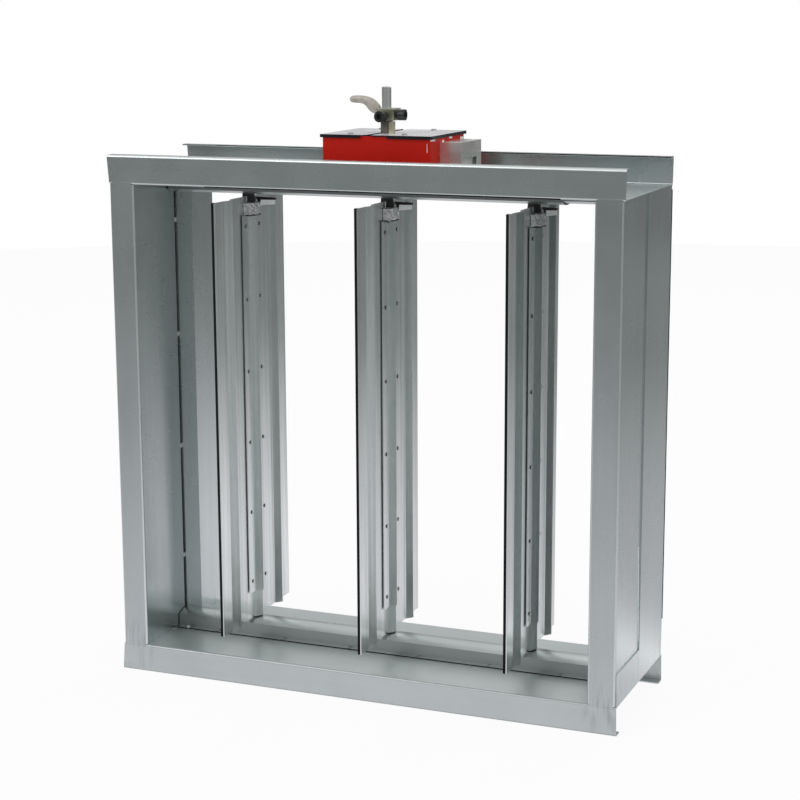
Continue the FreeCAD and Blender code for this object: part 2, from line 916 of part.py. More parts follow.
def crank(name, place):
    """An arm on the shaft's lower end, with a hub around the shaft and an eye for a pin."""
    hub = size("crank_hub_radius")
    eye = size("crank_eye_radius")
    arm_top = crank_level + size("crank_sheet")
    body = new_body(name, place)
    pad(body, "XY_Plane", [], crank_level, crank_level + size("crank_hub_height"),
        [(ZERO, ZERO, hub)])
    lean = math.sqrt(0.5)
    arm = [
        (hub * lean * -1, hub * lean * -1),
        (crank_offset - eye * lean, -crank_offset - eye * lean, eye),
        (crank_offset + eye * lean, -crank_offset - eye * lean, eye),
        (crank_offset + eye * lean, -crank_offset + eye * lean),
        (hub * lean, hub * lean),
    ]
    pad(body, "XY_Plane", [arm], crank_level, arm_top)
    pocket(body, "XY_Plane", [], crank_level, crank_level + size("crank_hub_height"),
           [(ZERO, ZERO, shaft_radius + size("seat_clearance"))])
    pocket(body, "XY_Plane", [], crank_level, arm_top,
           [(crank_offset, -crank_offset, pin_radius + size("seat_clearance"))])


def crank_pin(name, place):
    """A riveted pin through the crank's eye, with a head that keeps the tie bar on."""
    head_top = bar_low - clear
    head_low = head_top - size("crank_pin_head")
    arm_top = crank_level + size("crank_sheet")
    x = place + crank_offset
    y = -crank_offset
    shank = cylinder(pin_radius, head_low, arm_top, x, y)
    head = stud(size("crank_pin_head_radius"), head_low, head_top, x, y)
    rivet = stud(size("crank_pin_head_radius"), arm_top, arm_top + size("crank_rivet_head"), x, y)
    keep(fused([shank, head, rivet]), name)


def tie_bar():
    """The flat bar that joins the three crank pins."""
    body = new_body("tie_bar", crank_offset, -crank_offset)
    half = size("tie_bar_half_width")
    first, last = pivots[0], pivots[-1]
    outline = [
        (first, half, half),
        (first - half, ZERO, half),
        (first, -half),
        (last, -half, half),
        (last + half, ZERO, half),
        (last, half),
    ]
    pad(body, "XY_Plane", [outline], bar_low, bar_top)
    holes = []
    for number, place in enumerate(pivots, start=1):
        slack = size("running_clearance") if number == DRIVEN_BLADE else size("tie_bar_slack")
        holes.append((place, ZERO, pin_radius + slack))
    pocket(body, "XY_Plane", [], bar_low, bar_top, holes)


lid_top = web_top + size("box_height") + size("lid_sheet")
block_low = lid_top + size("hand_block_lift")
block_top = block_low + size("hand_block_height")
plate_top = block_top + size("hand_plate_sheet")
bush_top = web_top + bush_flange

for number, place in enumerate(pivots, start=1):
    prefix = "blade_%d" % number
    driven = number == DRIVEN_BLADE
    shoulder = (plate_top if driven else bush_top) + clear
    shaft_top = block_top + size("drive_shaft_stand") if driven else bush_top + size("side_shaft_stand")
    blade_skin(prefix + "_skin", place)
    edge_seal(prefix + "_edge_seal", place)
    stiffener(prefix + "_stiffener", place)
    blade_rivets(prefix + "_rivets", place)
    shaft_clamps(prefix + "_shaft_clamps", place)
    shaft("drive_shaft" if driven else prefix + "_shaft", place, shoulder, shaft_top)
    crank(prefix + "_crank", place)
    crank_pin(prefix + "_crank_pin", place)

tie_bar()

# Actuator

box_left = -size("box_left")
box_right = size("box_right")
box_front = -size("box_front")
box_rear = size("box_rear")
box_floor = web_top
box_top = box_floor + size("box_height")
box_sheet = size("box_sheet")
box_inside = box_floor + box_sheet
overhang = size("lid_overhang")
lid_screws = [
    (-size("left_screw_place"), box_front + size("front_screw_margin")),
    (-size("left_screw_place"), box_rear - size("rear_screw_margin")),
    (size("right_screw_place"), box_front + size("front_screw_margin")),
    (size("right_screw_place"), box_rear - size("rear_screw_margin")),
]
thread_radius = size("screw_radius") + size("seat_clearance")


def actuator_box():
    """The red sheet box, open at the top, with the posts that the lid screws go into."""
    body = new_body("actuator_housing")
    outline = box_loop(box_left, box_front, box_right, box_rear)
    solid = pad(body, "XY_Plane", [outline], box_floor, box_top)
    round_edges(body, solid, "XY_Plane", outline, size("box_bend"))
    inner = box_loop(box_left + box_sheet, box_front + box_sheet,
                     box_right - box_sheet, box_rear - box_sheet)
    pocket(body, "XY_Plane", [inner], box_inside, box_top)
    side = size("post_side")
    posts = []
    for x, y in lid_screws:
        at_front = y.value < 0
        near = box_front if at_front else y - side / 2
        far = y + side / 2 if at_front else box_rear
        posts.append(box_loop(x - side / 2, near, x + side / 2, far))
    pad(body, "XY_Plane", posts, box_inside - box_sheet / 2, box_top)
    screw_holes = [(x, y, thread_radius) for x, y in lid_screws]
    pocket(body, "XY_Plane", [], box_top - size("post_side"), box_top, screw_holes)
    floor_holes = [(x, y, thread_radius) for x, y in foot_screws]
    floor_holes.append((ZERO, ZERO, size("bush_flange_radius") + clear))
    pocket(body, "XY_Plane", [], box_floor, box_inside, floor_holes)


def lid_plates():
    """The two plates of the lid, split beside the shaft, with rims turned down outside the box."""
    front = box_front - overhang
    rear = box_rear + overhang
    rim = size("lid_rim")
    rim_low = box_top - size("lid_rim_drop")
    notch = size("lid_notch_half_width")
    slot_left = -size("lid_slot_left")
    slot_right = -size("lid_slot_right")
    left_edge = box_left - overhang
    right_edge = box_right + overhang
    left = [
        (left_edge, front),
        (slot_left - size("lid_slot_corner"), front),
        (slot_left, front + size("lid_slot_corner")),
        (slot_left, rear),
        (left_edge, rear),
    ]
    right = box_loop(slot_right, front, right_edge, rear)
    for name, outline, screws, corners, inside, gap in (
            ("cover_plate_left", left, lid_screws[:2], (0, 4),
             (left_edge + rim, slot_left + clear), (-notch, slot_left + clear)),
            ("cover_plate_right", right, lid_screws[2:], (1, 2),
             (slot_right - clear, right_edge - rim), (slot_right - clear, notch))):
        body = new_body(name)
        solid = pad(body, "XY_Plane", [outline], rim_low, lid_top)
        spots = [outline[number] for number in corners]
        round_edges(body, solid, "XY_Plane", spots, size("lid_corner"))
        pocket(body, "XY_Plane", [box_loop(inside[0], front + rim, inside[1], rear - rim)],
               rim_low, box_top)
        pocket(body, "XY_Plane", [box_loop(gap[0], front - clear, gap[1], front + rim + clear)],
               rim_low, box_top)
        holes = [(x, y, thread_radius) for x, y in screws]
        pocket(body, "XY_Plane", [], box_top, lid_top, holes)
        if name == "cover_plate_right":
            pocket(body, "XY_Plane", [], box_top, lid_top, [(ZERO, ZERO, size("lid_bore"))])
            pocket(body, "XY_Plane", [box_loop(post_left - clear, post_front - clear,
                                               post_right + clear, post_rear + clear)],
                   box_top, lid_top)


def pan_screws(name, places, seat, length):
    """Round-headed screws with their heads on one level."""
    screws = []
    for x, y in places:
        head = cylinder(size("screw_head_radius"), seat, seat + size("screw_head"), x, y)
        shank = stud(size("screw_radius"), seat - length, seat, x, y)
        screws.append(fused([head, shank]))
    keep(grouped(screws), name)


post_right = size("hand_block_right")
post_left = post_right - size("post_width")
post_front = -size("hand_block_front")
post_rear = post_front + size("post_width")

actuator_box()
lid_plates()
pan_screws("cover_screws", lid_screws, lid_top, size("post_side"))
pan_screws("actuator_foot_screws", foot_screws, box_inside, box_sheet + metal)


def terminal_guard():
    """A bent sheet guard over the terminals on the right side of the box."""
    body = new_body("terminal_guard")
    left = box_right
    right = box_right + size("guard_reach")
    front = -size("guard_front")
    rear = front + size("guard_length")
    low = box_floor
    top = low + size("guard_height")
    thick = size("guard_sheet")
    pad(body, "XY_Plane", [box_loop(left, front, right, rear)], low, top)
    pocket(body, "XY_Plane", [box_loop(left, front + thick, right - thick, rear - thick)],
           low, top - thick)
    pocket(body, "YZ_Plane",
           [box_loop(front + thick, low, rear - size("guard_leg"), low + size("guard_window_height"))],
           right - thick, right)
    terminal_front = (front + rear) / 2 - size("terminal_length") / 2
    terminals = block(left, terminal_front, low, left + size("terminal_width"),
                      terminal_front + size("terminal_length"), low + size("terminal_height"))
    keep(terminals, "terminal_block")


terminal_guard()


def actuator_inside():
    """The gearmotor, the spring cassette with its post, the shaft's hub and the switches."""
    hub_low = box_floor + bush_flange + size("hub_lift")
    hub_top = hub_low + size("hub_height")
    bore = shaft_radius + size("seat_clearance")
    sleeve_top = block_low - clear
    hub = fused([cylinder(size("hub_radius"), hub_low, hub_top),
                 cylinder(size("hub_sleeve_radius"), hub_low, sleeve_top)])
    keep(without(hub, cylinder(bore, hub_low, sleeve_top)), "drive_hub")
    cassette_low = hub_top + clear
    cassette_top = cassette_low + size("cassette_height")
    cassette = cylinder(size("cassette_radius"), cassette_low, cassette_top)
    opening = cylinder(size("hub_sleeve_radius") + clear, cassette_low, cassette_top)
    keep(without(cassette, opening), "spring_cassette")
    post = block(post_left, post_front, cassette_top,
                 post_right, post_rear, block_low - size("post_gap"))
    keep(post, "clamp_post")
    motor_right = box_right - box_sheet - size("motor_margin")
    motor_left = motor_right - size("motor_width")
    motor_front = (box_front + box_rear) / 2 - size("motor_length") / 2
    motor = block(motor_left, motor_front, box_inside, motor_right,
                  motor_front + size("motor_length"), box_inside + size("motor_height"))
    keep(motor, "gearmotor")
    switches = []
    left = box_left + box_sheet + size("motor_margin")
    for side in (-1, 1):
        near = size("switch_gap") / 2
        far = near + size("switch_length")
        front, rear = (near, far) if side > 0 else (-far, -near)
        switches.append(block(left, front, box_inside, left + size("switch_width"),
                              rear, box_inside + size("switch_height")))
    keep(grouped(switches), "end_switches")


actuator_inside()

# Hand clamp on the drive shaft

block_middle = block_low + size("hand_block_height") / 2
block_left = -size("hand_block_left")
block_right = size("hand_block_right")
block_front = -size("hand_block_front")
block_rear = size("hand_block_rear")
hand_bore = (ZERO, ZERO, shaft_radius + size("seat_clearance"))
shank_hole = size("cap_shank_radius") + size("seat_clearance")
front_screw_spot = (-size("front_screw_shift"), block_middle - size("front_screw_drop"))
side_screw_spot = (ZERO, block_middle)


def hand_block():
    """The clamp block with its shaft bore and the two screw holes that meet the shaft."""
    body = new_body("clamp_block")
    outline = box_loop(block_left, block_front, block_right, block_rear)
    solid = pad(body, "XY_Plane", [outline], block_low, block_top)
    round_edges(body, solid, "XY_Plane", outline, size("hand_block_bend"))
    pocket(body, "XY_Plane", [], block_low, block_top, [hand_bore])
    pocket(body, "XZ_Plane", [], block_front, ZERO, [(*front_screw_spot, shank_hole)])
    pocket(body, "YZ_Plane", [], ZERO, block_right, [(*side_screw_spot, shank_hole)])


def hand_plate():
    """The thin plate on the clamp block, cut out for the lever's root."""
    body = new_body("clamp_plate")
    left = block_left - size("hand_plate_left_lap")
    outline = box_loop(left, block_front, block_right + size("hand_plate_right_lap"),
                       block_rear + size("hand_plate_rear_lap"))
    pad(body, "XY_Plane", [outline], block_top, plate_top)
    pocket(body, "XY_Plane", [], block_top, plate_top, [hand_bore])
    half = size("lever_half_width") + clear
    pocket(body, "XY_Plane", [box_loop(left - clear, -half, block_left + clear, half)],
           block_top, plate_top)


def cap_screw(name, plane, spot, tip, face, direction):
    """A socket cap screw along a body axis, its tip against the shaft."""
    body = new_body(name)
    length = size("cap_head_length")
    start = face + (size("cap_standoff") if direction > 0 else -size("cap_standoff"))
    end = start + (length if direction > 0 else -length)
    levels = ((tip, start), (start, end)) if direction > 0 else ((start, tip), (end, start))
    shank = [(*spot, size("cap_shank_radius"))]
    head = [(*spot, size("cap_head_radius"))]
    socket = [(*spot, size("cap_socket_radius"))]
    depth = size("cap_socket_depth")
    pad(body, plane, [], levels[0][0], levels[0][1], shank)
    pad(body, plane, [], levels[1][0], levels[1][1], head)
    if direction > 0:
        pocket(body, plane, [], end - depth, end, socket)
    else:
        pocket(body, plane, [], end, end + depth, socket)


def hand_lever():
    """The cast lever, which leaves the block, climbs in a double bend and runs out level."""
    body = new_body("hand_lever")
    low = block_top - size("lever_drop")
    shelf = low + size("lever_rise")
    high = shelf + size("lever_thickness")
    heel = block_left - size("lever_heel_length")
    knee = heel - size("lever_slope_length")
    tip = knee - size("lever_tip_length")
    outline = [
        (block_left, low),
        (heel, low),
        (knee, shelf),
        (tip, shelf),
        (tip, high),
        (block_left - size("lever_brow_length"), high),
        (block_left, block_top + size("lever_crown")),
    ]
    half = size("lever_half_width")
    solid = pad(body, "XZ_Plane", [outline], -half, half)
    for corners, radius in (
            (outline[1:2], size("lever_heel_bend")),
            (outline[2:3], size("lever_knee_bend")),
            (outline[5:6], size("lever_brow_bend")),
            (outline[3:5], size("lever_tip_bend"))):
        solid = round_edges(body, solid, "XZ_Plane", corners, radius)


hand_block()
hand_plate()
cap_screw("clamp_screw_front", "XZ_Plane", front_screw_spot,
          -shaft_radius - size("seat_clearance"), block_front, -1)
cap_screw("clamp_screw_side", "YZ_Plane", side_screw_spot,
          shaft_radius + size("seat_clearance"), block_right, 1)
hand_lever()

# Check and write the pieces

doc.recompute()
for thing in doc.Objects:
    if "Invalid" in thing.State or "Error" in thing.State:
        raise RuntimeError("%s (%s) failed" % (thing.Label, thing.Name))
os.makedirs("parts", exist_ok=True)
for piece in nodes:
    shape = piece.Shape
    if shape.isNull() or not shape.isValid() or not shape.Solids:
        raise RuntimeError(piece.Label + " has no valid solid")
    shape.exportStep("parts/%s.step" % piece.Label)
print("%d pieces, %d solids" % (len(nodes), sum(len(piece.Shape.Solids) for piece in nodes)))
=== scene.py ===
# The looks of a combination fire smoke damper: sheet metal, seals, a red actuator and
# the hand clamp on the middle shaft. Everything is in metres, in the part's own frame:
# +Z up, -Y the front, the origin on the floor under the middle of the casing.

import json
import math

import bmesh
import bpy
from mathutils import Matrix, Vector, noise


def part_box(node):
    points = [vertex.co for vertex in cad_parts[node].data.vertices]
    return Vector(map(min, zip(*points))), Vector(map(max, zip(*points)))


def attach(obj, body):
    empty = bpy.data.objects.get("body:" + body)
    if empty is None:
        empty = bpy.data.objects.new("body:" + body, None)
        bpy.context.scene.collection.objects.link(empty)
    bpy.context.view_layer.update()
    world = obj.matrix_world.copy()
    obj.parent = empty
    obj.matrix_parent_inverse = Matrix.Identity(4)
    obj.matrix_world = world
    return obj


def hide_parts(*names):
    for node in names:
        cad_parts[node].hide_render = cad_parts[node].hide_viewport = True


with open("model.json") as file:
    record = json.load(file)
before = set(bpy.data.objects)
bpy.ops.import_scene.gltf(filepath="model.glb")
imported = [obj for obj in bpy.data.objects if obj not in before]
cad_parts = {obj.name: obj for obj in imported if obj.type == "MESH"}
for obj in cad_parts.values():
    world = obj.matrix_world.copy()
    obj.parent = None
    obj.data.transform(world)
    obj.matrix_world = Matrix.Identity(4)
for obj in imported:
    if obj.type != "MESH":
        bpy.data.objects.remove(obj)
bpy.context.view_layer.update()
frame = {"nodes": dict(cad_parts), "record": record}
nodes = frame["nodes"]

MM = 0.001

# Camera, fitted to the photograph's straight edges

CAMERA_PLACE = Vector((0.88087, -2.12127, 0.81773))
CAMERA_TURN = math.radians(22.1958)
CAMERA_PITCH = math.radians(-11.5499)
CAMERA_ROLL = math.radians(-0.2344)
CAMERA_LENS = 87.226
CAMERA_SENSOR = 36.0

# Lamps: name, place, the point it is turned to, size and power

LAMPS = (
    ("key_light", (-1.6, -2.4, 2.6), (0.0, 0.0, 0.35), 1.8, 19.0),
    ("fill_light", (2.4, -1.0, 1.6), (0.0, 0.0, 0.35), 1.6, 7.0),
    ("back_light", (0.4, 2.4, 2.2), (0.0, 0.0, 0.4), 1.6, 11.0),
)

# Floor, and the brightness that metal finds in it

FLOOR_RADIUS = 4.5
FLOOR_SEGMENTS = 96
FLOOR_DROP = 0.0004
FLOOR_COLOUR = (0.97, 0.97, 0.97)
FLOOR_ROUGHNESS = 0.9
FLOOR_SHADOW_SHARE = 0.08
FLOOR_GLOW_MIDDLE = (-0.30, 0.10, 0.0)
FLOOR_NEAR, FLOOR_FAR = 0.6, 2.45
FLOOR_GLOSS_NEAR = (0.78, 0.76, 0.79)
FLOOR_GLOSS_FAR = (0.20, 0.22, 0.215)
FLOOR_LEAN = 0.42
FLOOR_LEAN_REACH = 0.35
FLOOR_LEFT_MORE, FLOOR_RIGHT_LESS = 0.12, -0.09
FLOOR_REAR_START, FLOOR_REAR_END = 0.05, 0.5
FLOOR_SIDE_LESS = -0.08
FLOOR_SIDE_START, FLOOR_SIDE_END = 0.6, 1.7
FLOOR_SIDE_LEAN_LOW, FLOOR_SIDE_LEAN_HIGH = 0.12, 0.30
STRIP_AZIMUTH = math.radians(28)
STRIP_HALF_WIDTH = math.radians(15)
STRIP_GAIN = 0.46

# World: its light, and the brightness that metal finds in it from the horizon up

WORLD_WHITE = (1.0, 1.0, 1.0)
WORLD_LIGHT = 0.62
HORIZON_LOW, HORIZON_HIGH = -0.02, 0.45
WORLD_GLOSS_LOW, WORLD_GLOSS_HIGH = 0.15, 0.85

# The pattern of sheet metal: tones are shares of the way from its dark to its light colour

ROLLED_ALONG_X, ROLLED_ALONG_Z = 0, 2
CLOUD_SCALE, SMUDGE_SCALE = 3.0, 11.0
CLOUD_TONE = (0.20, 0.50)
SMUDGE_TONE = (-0.12, 0.12)
GRAIN_STRETCH = 2.5
WAVE_SCALE, WAVE_DEPTH = 2.2, 0.003
# Where the bends' painted highlight and the front faces' painted shade begin and end
BEND_START, BEND_END = 0.985, 0.90
FRONT_START, FRONT_END = 0.25, 0.7

# Marks where the bottom corners were welded and ground, the same at all four

CORNER = (0.306, 0.1015, 0.034)
CORNER_NEAR, CORNER_FAR = 0.010, 0.040
CORNER_DULL = (0.28, 0.31, 0.31)
CORNER_STREAKS = (170.0, 170.0, 26.0)
CORNER_START, CORNER_END = 0.46, 0.64
CORNER_MOST = 0.6

# Tones that several of the galvanised finishes share

ZINC_DARK = (0.45, 0.50, 0.50)
ZINC_LIGHT = (0.605, 0.655, 0.655)
# Painted highlight on the bends, brighter than the flats
ZINC_BEND_HIGHLIGHT = (0.78, 0.83, 0.825)

# Painted shadow lines along seals, bends and cut edges, the tack weld, a painted highlight and
# creases on the casing, in millimetres

ROUND_SIDES = 8
UPRIGHT_SHARE = 0.1   # a path that leans less than this counts as upright
BOTTOM_SHADOW_OUT, BOTTOM_SHADOW_UP = 0.3, 0.4
BOTTOM_SHADOW_RADIUS = 0.65
TACK_START, TACK_END = -269.8, -265.4
TACK_OUT, TACK_UP = 0.4, 2.6
TACK_RADIUS = 2.2
TOP_SHADOW_FLANK = -19.6
TOP_SHADOW_FOOT = 5.0
TOP_SHADOW_LINE = 600.9
TOP_SHADOW_TURN = 2.0
TOP_SHADOW_WANDER = (0.6, 0.3, -0.6)
TOP_SHADOW_RADIUS = 0.5
FRONT_SHADOW_START, FRONT_SHADOW_END = -190.0, 246.0
FRONT_SHADOW_LINE = (-100.3, 608.75)
FRONT_SHADOW_THIN, FRONT_SHADOW_WIDE = 0.75, 1.0
LIP_EDGE = 87.5
LIP_EDGE_START = -272.0
LIP_EDGE_TOP, LIP_EDGE_FOOT_LEFT, LIP_EDGE_FOOT_RIGHT = 0.1, 0.8, 1.4
LIP_EDGE_DEPTH = 0.15
REAR_EDGE = 100.6
REAR_EDGE_HEIGHTS = (80.0, 300.0, 604.0)
REAR_EDGE_RADIUS = 0.5
RIGHT_LAP_LINE = ((-13.0, 200.0), (-8.0, 140.0), (-4.2, 84.0))
RIGHT_CREASE_LINE = ((-16.7, 76.9), (-38.0, 76.3), (-59.8, 76.2))
LEFT_CREASE_LINE = ((-287.0, -65.8, 35.0), (-286.0, -48.0, 35.0), (-285.0, -30.5, 35.0))
CREASE_RADIUS = 0.45

# Top clamps and bearings of the blades, in millimetres

BLADE_PLACES = (-183.0, 0.0, 183.0)
CLAMP_FACE = 9.5
# The ear is near-white, a painted highlight; the black strip on its upper edge is a painted shadow
EAR_OUTLINE = ((5.0, 577.6), (12.5, 583.6), (50.0, 579.8), (45.5, 575.0))
EAR_EDGE = ((3.0, 588.2), (10.0, 587.6), (57.0, 581.6), (50.0, 579.9), (12.5, 583.7),
            (6.5, 579.6))
EAR_SHEET = 0.8
EAR_TOP, EAR_TILT = 584.0, 0.35
WRAP_COLUMNS, WRAP_ROWS = 30, 10
WRAP_FOOT = 18.0
WRAP_HALF_WIDTH = 8.2
WRAP_LOW, WRAP_HIGH = 566.0, 581.4
WRAP_FACE, WRAP_FLAT = 10.0, 1.9
WRAP_ROUND = 0.7
WRAP_RAGGED, WRAP_RAGGED_SCALE = 2.4, 0.4
WRAP_CRUMPLE, WRAP_LUMP_SCALE = 2.4, 0.34
WRAP_FULL, WRAP_CREASE, WRAP_CREASE_SCALE = 0.5, 0.4, 0.8
WRAP_EDGES_APART, WRAP_FACES_APART = 5.0, 9.0
WRAP_SHEET = 0.3
SKIRT_SIDES = 24
SKIRT_LOW, SKIRT_BRIM, SKIRT_HIGH = 582.6, 583.8, 589.0
SKIRT_RADIUS, SKIRT_NECK = 8.8, 7.6

# Hand lever: places along x and z with the lever's half thickness there, in millimetres

LEVER_LINE = (
    (-46.6, 707.9, 1.6),
    (-45.3, 707.9, 3.4),
    (-42.8, 707.9, 4.4),
    (-37.0, 708.1, 4.6),
    (-30.5, 707.7, 4.8),
    (-24.8, 706.2, 5.8),
    (-20.8, 703.8, 6.9),
    (-17.2, 700.2, 7.7),
    (-13.2, 697.0, 7.0),
    (-8.2, 695.6, 5.2),
)
LEVER_SIDES = 12
LEVER_HALF_WIDTH = 4.2
LEVER_FULL_WIDTH_AT = 4.4

# Red box: the cover behind the guard, and the pale patches and scratch, in millimetres. A patch
# goes by its front, rear, bottom and top, each corner moved a little; the scratch by its corners.

COVER_PLACE = 88.0
COVER_FRONT, COVER_REAR = -6.4, 59.4
COVER_HIGH = 655.0
COVER_SHEET = 1.2
MARK_DEPTH = 0.12
BOX_PALE_PATCHES = (
    (-39.4, -24.0, 663.0, 664.4),
    (-1.5, 5.0, 659.6, 662.0),
    (21.7, 31.7, 662.8, 664.6),
    (58.7, 72.0, 659.8, 662.2),
)
PATCH_SKEW = ((0.0, 0.0), (0.0, -0.4), (0.5, 0.0), (0.8, 0.3))
BOX_SCRATCH = ((66.2, 650.0), (67.0, 650.6), (66.6, 661.0), (66.2, 660.0))


# Small helpers for shader nodes

def arithmetic(tree, operation, first, second):
    """A math node on two values, each an output or a number."""
    node = tree.nodes.new("ShaderNodeMath")
    node.operation = operation
    for socket, value in zip(node.inputs, (first, second)):
        if isinstance(value, (int, float)):
            socket.default_value = value
        else:
            tree.links.new(value, socket)
    return node.outputs["Value"]


def ramp(tree, value, start, end, low, high):
    """Map a value from start..end to low..high, held at the ends."""
    node = tree.nodes.new("ShaderNodeMapRange")
    node.inputs["From Min"].default_value = start
    node.inputs["From Max"].default_value = end
    node.inputs["To Min"].default_value = low
    node.inputs["To Max"].default_value = high
    tree.links.new(value, node.inputs["Value"])
    return node.outputs["Result"]


def tone_between(tree, share, first, second):
    """A colour between two by a share from 0 to 1. The first is a colour or an output."""
    node = tree.nodes.new("ShaderNodeMix")
    node.data_type = "RGBA"
    tree.links.new(share, node.inputs[0])
    if isinstance(first, tuple):
        node.inputs[6].default_value = (*first, 1.0)
    else:
        tree.links.new(first, node.inputs[6])
    node.inputs[7].default_value = (*second, 1.0)
    return node.outputs[2]


def vector_math(tree, operation, first, second=None):
    """A vector math node on an output and, where given, a fixed second vector."""
    node = tree.nodes.new("ShaderNodeVectorMath")
    node.operation = operation
    tree.links.new(first, node.inputs[0])
    if second is not None:
        node.inputs[1].default_value = second
    return node


# Every material under its name, as Shader makes them

MATERIALS = {}


class Shader:
    """One of the materials, by its name, with short calls for the nodes that recur here."""

    def __init__(self, name, colour, metallic=0.0, roughness=0.5):
        material = bpy.data.materials.new(name)
        material.use_nodes = True
        MATERIALS[name] = material
        self.tree = material.node_tree
        self.nodes, self.links = self.tree.nodes, self.tree.links
        self.bsdf = next(node for node in self.nodes if node.type == "BSDF_PRINCIPLED")
        self.put("Base Color", (*colour, 1.0))
        self.put("Metallic", metallic)
        self.put("Roughness", roughness)
        self.coords = self.nodes.new("ShaderNodeTexCoord").outputs["Object"]
        self.normal = None

    def put(self, socket, value):
        self.bsdf.inputs[socket].default_value = value

    def link(self, output, socket):
        self.links.new(output, self.bsdf.inputs[socket])

    def stretched(self, x, y, z):
        """Object coordinates scaled by axis, which draws a pattern out along one."""
        node = self.nodes.new("ShaderNodeMapping")
        node.inputs["Scale"].default_value = (x, y, z)
        self.links.new(self.coords, node.inputs["Vector"])
        return node.outputs["Vector"]

    def noise(self, scale, detail=3.0, roughness=0.55, vector=None):
        node = self.nodes.new("ShaderNodeTexNoise")
        node.inputs["Scale"].default_value = scale
        node.inputs["Detail"].default_value = detail
        node.inputs["Roughness"].default_value = roughness
        self.links.new(vector or self.coords, node.inputs["Vector"])
        return node.outputs["Fac"]

    def spread(self, value, low, high, start=0.3, end=0.7):
        """Map a texture's value from start..end to low..high."""
        return ramp(self.tree, value, start, end, low, high)

    def total(self, first, second, operation="ADD"):
        return arithmetic(self.tree, operation, first, second)

    def tint(self, share, first, second):
        return tone_between(self.tree, share, first, second)

    def facing(self):
        """The surface's own direction as three absolute shares along x, y and z."""
        normal = self.nodes.new("ShaderNodeTexCoord").outputs["Normal"]
        size = vector_math(self.tree, "ABSOLUTE", normal)
        split = self.nodes.new("ShaderNodeSeparateXYZ")
        self.links.new(size.outputs["Vector"], split.inputs["Vector"])
        return split.outputs

    def bends(self):
        """1 where sheet turns between two of the main directions, 0 on the flats."""
        x, y, z = self.facing()
        most = self.total(self.total(x, y, "MAXIMUM"), z, "MAXIMUM")
        return self.spread(most, 0.0, 1.0, BEND_START, BEND_END)

    def corner_marks(self):
        """Upright smears near the bottom corners, where the welds were ground flush."""
        size = vector_math(self.tree, "ABSOLUTE", self.coords)
        reach = vector_math(self.tree, "DISTANCE", size.outputs["Vector"], CORNER)
        near = self.spread(reach.outputs["Value"], 1.0, 0.0, CORNER_NEAR, CORNER_FAR)
        smears = self.noise(1.0, vector=self.stretched(*CORNER_STREAKS))
        smears = self.spread(smears, 0.0, CORNER_MOST, CORNER_START, CORNER_END)
        return self.total(near, smears, "MULTIPLY")

    def bump(self, height, distance, strength=0.5):
        node = self.nodes.new("ShaderNodeBump")
        node.inputs["Strength"].default_value = strength
        node.inputs["Distance"].default_value = distance
        self.links.new(height, node.inputs["Height"])
        if self.normal is not None:
            self.links.new(self.normal, node.inputs["Normal"])
        self.normal = node.outputs["Normal"]
        self.link(self.normal, "Normal")


# Kinds of material

def sheet_metal(name, dark, light, roughness, grain_axis, streaks=0.25, painted_bend_tone_and_welds=None,
                metallic=0.86, painted_front_shade=None, grain_scale=70.0):
    """Galvanised or rolled sheet: cloudy tone, soft smudges and streaks along the roll.

    The bend colour is painted on its bends: a painted highlight on the jambs and top channel,
    painted shade on the sill. Giving it also brings the weld marks at the bottom corners. The front
    colour is painted shade where the sheet faces along y."""
    s = Shader(name, light, metallic=metallic)
    clouds = s.noise(CLOUD_SCALE)
    smudges = s.noise(SMUDGE_SCALE, detail=5.0, roughness=0.6)
    scale = [grain_scale] * 3
    scale[grain_axis] = GRAIN_STRETCH
    grain = s.noise(1.0, detail=4.0, vector=s.stretched(*scale))
    tone = s.total(s.spread(clouds, *CLOUD_TONE), s.spread(smudges, *SMUDGE_TONE))
    tone = s.total(tone, s.spread(grain, 0.0, streaks))
    colour = s.tint(tone, dark, light)
    # Bends get a painted highlight, painted shade where the colour is darker; the corners get weld
    # marks
    if painted_bend_tone_and_welds:
        colour = s.tint(s.bends(), colour, painted_bend_tone_and_welds)
        colour = s.tint(s.corner_marks(), colour, CORNER_DULL)
    # Painted shade: darker where the sheet faces along y
    if painted_front_shade:
        front = s.spread(s.facing()[1], 0.0, 1.0, FRONT_START, FRONT_END)
        colour = s.tint(front, colour, painted_front_shade)
    s.link(colour, "Base Color")
    s.link(s.total(s.spread(smudges, -0.02, 0.03),
                   s.spread(clouds, roughness - 0.03, roughness + 0.03)), "Roughness")
    s.bump(s.noise(WAVE_SCALE, detail=2.0), WAVE_DEPTH, 0.4)


def plain_metal(name, dark, light, roughness, scale=60.0, grain=0.00005, metallic=0.9):
    """Plated or machined metal with a slightly uneven finish."""
    s = Shader(name, light, metallic=metallic)
    patches = s.noise(scale, detail=4.0)
    s.link(s.tint(s.spread(patches, 0.0, 1.0), dark, light), "Base Color")
    s.link(s.spread(patches, roughness - 0.06, roughness + 0.08), "Roughness")
    s.bump(s.noise(scale * 12, detail=2.0), grain, 0.4)


def rough_metal(name, dark, light, roughness, scale, depth, metallic):
    """Cast or crumpled metal with an uneven face."""
    s = Shader(name, light, metallic=metallic)
    lumps = s.noise(scale, detail=6.0, roughness=0.65)
    s.link(s.tint(s.spread(lumps, 0.0, 1.0), dark, light), "Base Color")
    s.link(s.spread(lumps, roughness + 0.12, roughness - 0.08), "Roughness")
    s.bump(lumps, depth, 0.8)


